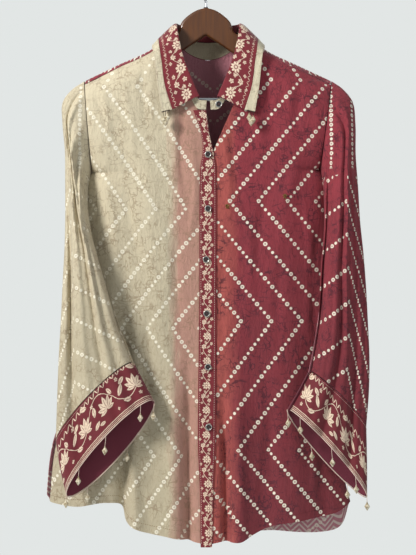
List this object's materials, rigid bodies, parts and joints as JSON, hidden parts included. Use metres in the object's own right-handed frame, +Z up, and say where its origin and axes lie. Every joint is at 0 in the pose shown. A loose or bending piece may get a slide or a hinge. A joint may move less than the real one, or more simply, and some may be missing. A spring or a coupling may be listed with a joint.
{
  "type": "printed shirt on a hanger",
  "caption": "Long-sleeved printed tunic shirt in two colours with a collar, button placket, deep cuffs and drop beads, hanging on a wooden hanger.",
  "frame": {"origin": "inside top of the hanger's hook, where a rail holds it", "axes": "+Z up, +X to the viewer's right, the front of the shirt faces -Y"},
  "size_m": [0.4802, 0.1286, 0.881],
  "materials": {
    "tan_cloth": "soft printed viscose, tan",
    "maroon_cloth": "soft printed viscose, maroon",
    "print_cloth": "soft viscose, dark red with cream flowers",
    "button_resin": "dark resin with a bright rim",
    "bead": "pearly bead on thread",
    "varnished_wood": "brown varnished",
    "plated_steel": "polished"
  },
  "bodies": {
    "root": {"front_tan": "tan_cloth", "front_maroon": "maroon_cloth", "back": "maroon_cloth", "placket": "print_cloth", "collar_stand": "tan_cloth", "collar": "print_cloth", "collar_edging": "tan_cloth", "sleeve_tan": "tan_cloth", "sleeve_maroon": "maroon_cloth", "cuff_tan": "print_cloth", "cuff_maroon": "print_cloth", "button_1": "button_resin", "button_2": "button_resin", "button_3": "button_resin", "button_4": "button_resin", "button_5": "button_resin", "button_6": "button_resin", "button_stand": "button_resin", "cuff_beads_tan": "bead", "cuff_beads_maroon": "bead", "collar_beads_left": "bead", "collar_beads_right": "bead", "hanger": "varnished_wood", "hanger_hook": "plated_steel", "trouser_bar": "plated_steel"}
  },
  "joints": []
}
